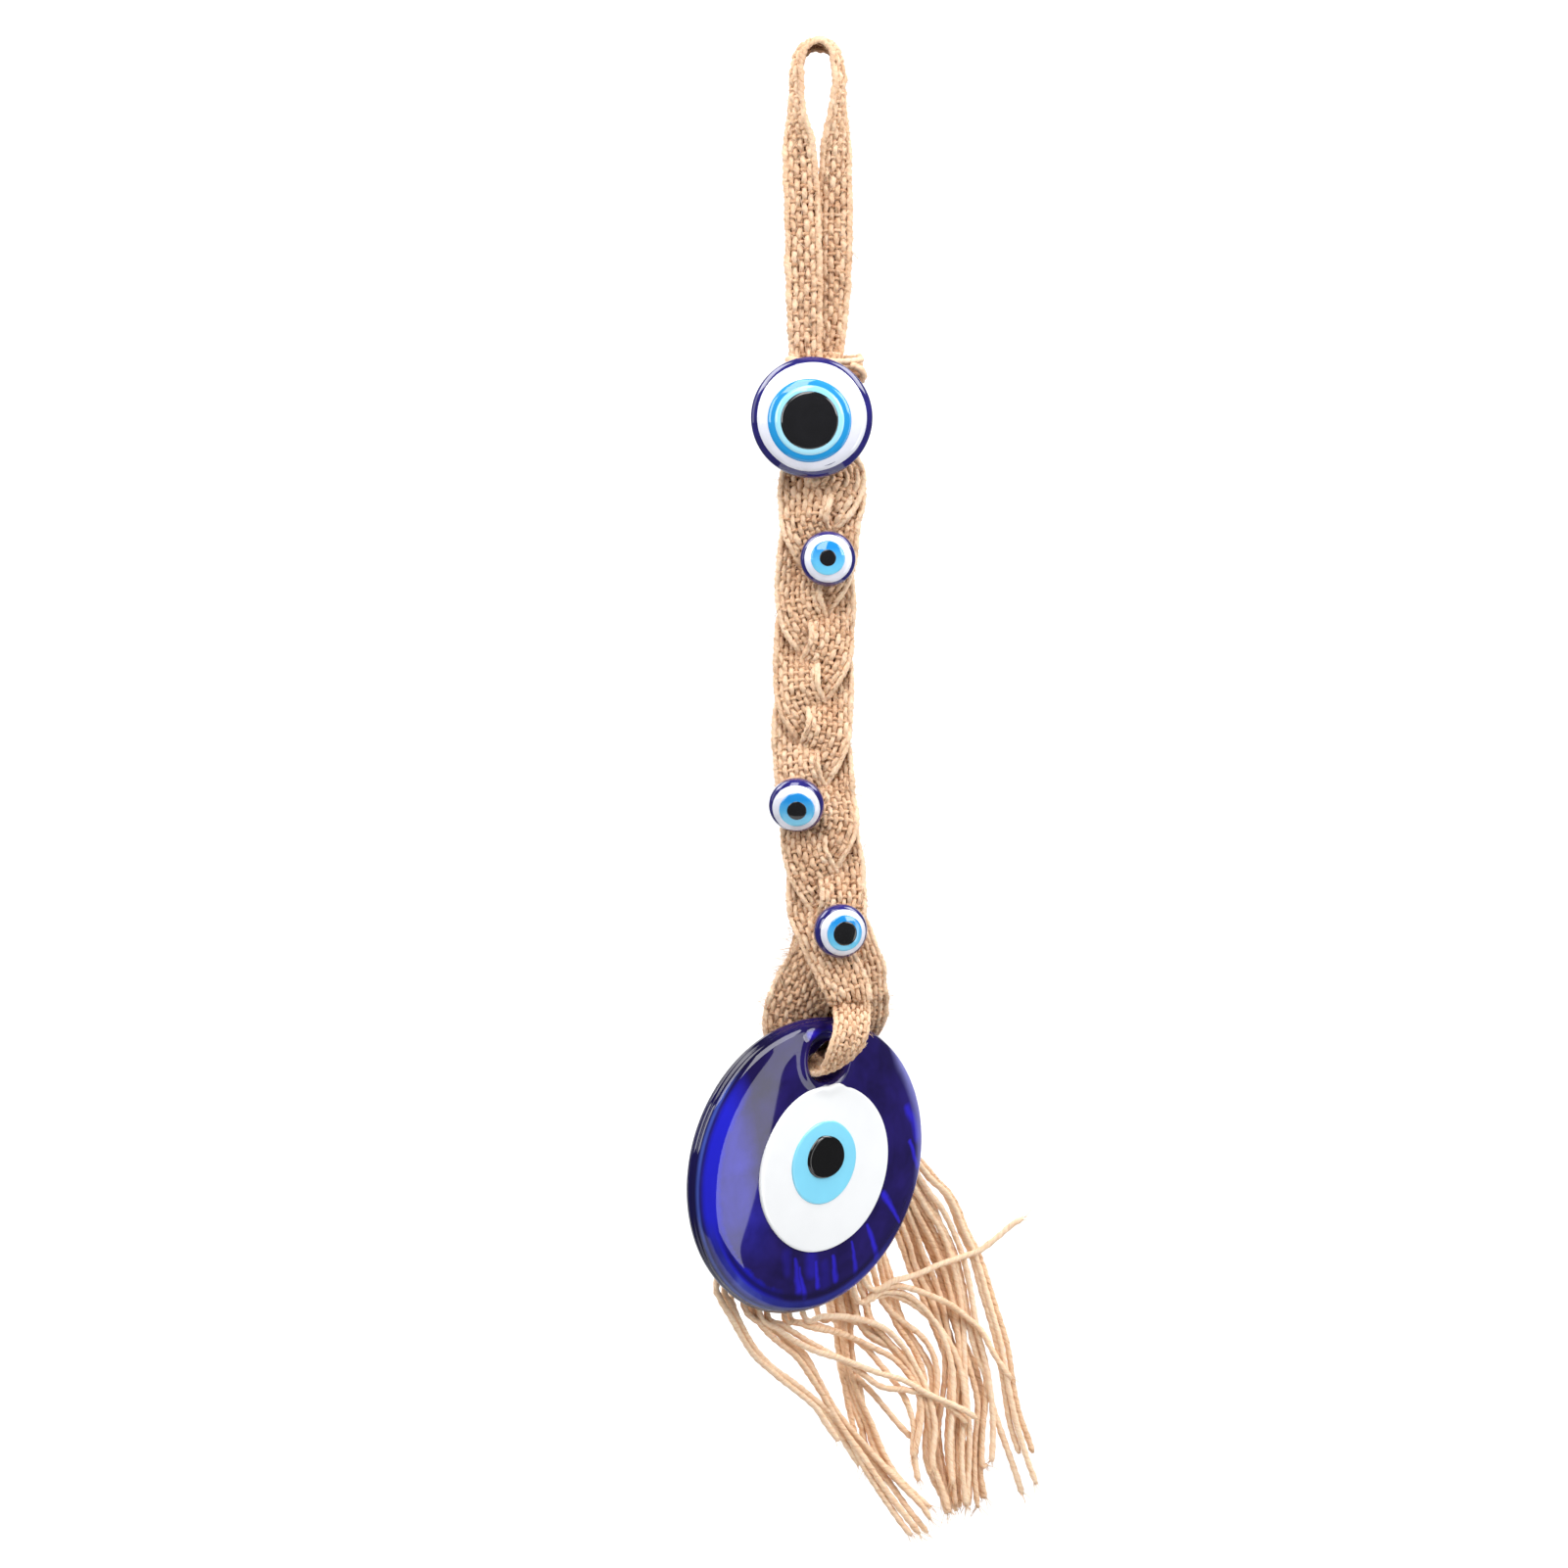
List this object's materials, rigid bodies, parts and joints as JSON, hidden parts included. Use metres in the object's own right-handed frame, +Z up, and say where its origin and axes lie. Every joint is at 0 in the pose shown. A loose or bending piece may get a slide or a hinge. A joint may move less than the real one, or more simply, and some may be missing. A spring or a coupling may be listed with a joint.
{
  "type": "evil eye ornament",
  "caption": "Hanging wall ornament: a plaited jute strap with a loop, glued eye cabochons, a cobalt glass eye disc tied through its hole and a loose jute fringe.",
  "frame": {"origin": "where a hook or nail bears inside the top of the hanging loop, on the tape's inner face, midway across the tape", "axes": "+Z up along the hanging ornament, towards the loop; -Y the way the strap's front and its eye cabochons face; +X to the right of someone looking at the front"},
  "size_m": [0.0671, 0.0639, 0.2981],
  "materials": {
    "jute": "matte woven plant fibre",
    "hot_melt_glue": "satin, milky",
    "navy_resin": "gloss",
    "white_resin": "gloss",
    "azure_resin": "gloss",
    "pale_blue_resin": "gloss",
    "black_resin": "gloss",
    "cobalt_glass": "polished, deep cobalt",
    "white_glass": "polished, opaque",
    "light_blue_glass": "polished, opaque",
    "black_glass": "polished, opaque"
  },
  "bodies": {
    "loop": {"hanging_loop": "jute"},
    "strap": {"binding_wrap": "jute", "plait_strand_left": "jute", "plait_strand_centre": "jute", "plait_strand_right": "jute", "large_eye_base": "navy_resin", "large_eye_white": "white_resin", "large_eye_azure": "azure_resin", "large_eye_pale": "pale_blue_resin", "large_eye_pupil": "black_resin", "small_eye_1_base": "navy_resin", "small_eye_1_white": "white_resin", "small_eye_1_azure": "azure_resin", "small_eye_1_pupil": "black_resin", "small_eye_2_base": "navy_resin", "small_eye_2_white": "white_resin", "small_eye_2_azure": "azure_resin", "small_eye_2_pupil": "black_resin", "small_eye_3_base": "navy_resin", "small_eye_3_white": "white_resin", "small_eye_3_azure": "azure_resin", "small_eye_3_pupil": "black_resin", "large_eye_glue": "hot_melt_glue", "small_eye_1_glue": "hot_melt_glue", "small_eye_2_glue": "hot_melt_glue", "small_eye_3_glue": "hot_melt_glue"},
    "disc": {"glass_disc": "cobalt_glass", "glass_eye_white": "white_glass", "glass_eye_blue": "light_blue_glass", "glass_eye_pupil": "black_glass", "tie_tape": "jute", "neck_tape_left": "jute", "neck_tape_right": "jute", "rear_knot": "jute"},
    "fringe": {"fringe_lock_01": "jute", "fringe_lock_02": "jute", "fringe_lock_03": "jute", "fringe_lock_04": "jute", "fringe_lock_05": "jute", "fringe_lock_06": "jute", "fringe_lock_07": "jute", "fringe_lock_08": "jute", "fringe_lock_09": "jute", "fringe_lock_10": "jute"}
  },
  "joints": [
    {"name": "strap_flex", "type": "hinge", "parent": "loop", "child": "strap", "pos_m": [0, 0.0001, -0.0575], "axis": [1, 0, 0], "range_deg": [-40, 40]},
    {"name": "disc_turn", "type": "hinge", "parent": "strap", "child": "disc", "pos_m": [0.0029, 0.0006, -0.182], "axis": [0, 0, 1], "range_deg": [-85, 50]},
    {"name": "fringe_sway", "type": "hinge", "parent": "disc", "child": "fringe", "pos_m": [-0.0048, 0.0062, -0.1989], "axis": [0.6548, -0.7358, -0.1729], "range_deg": [-45, 12]}
  ]
}
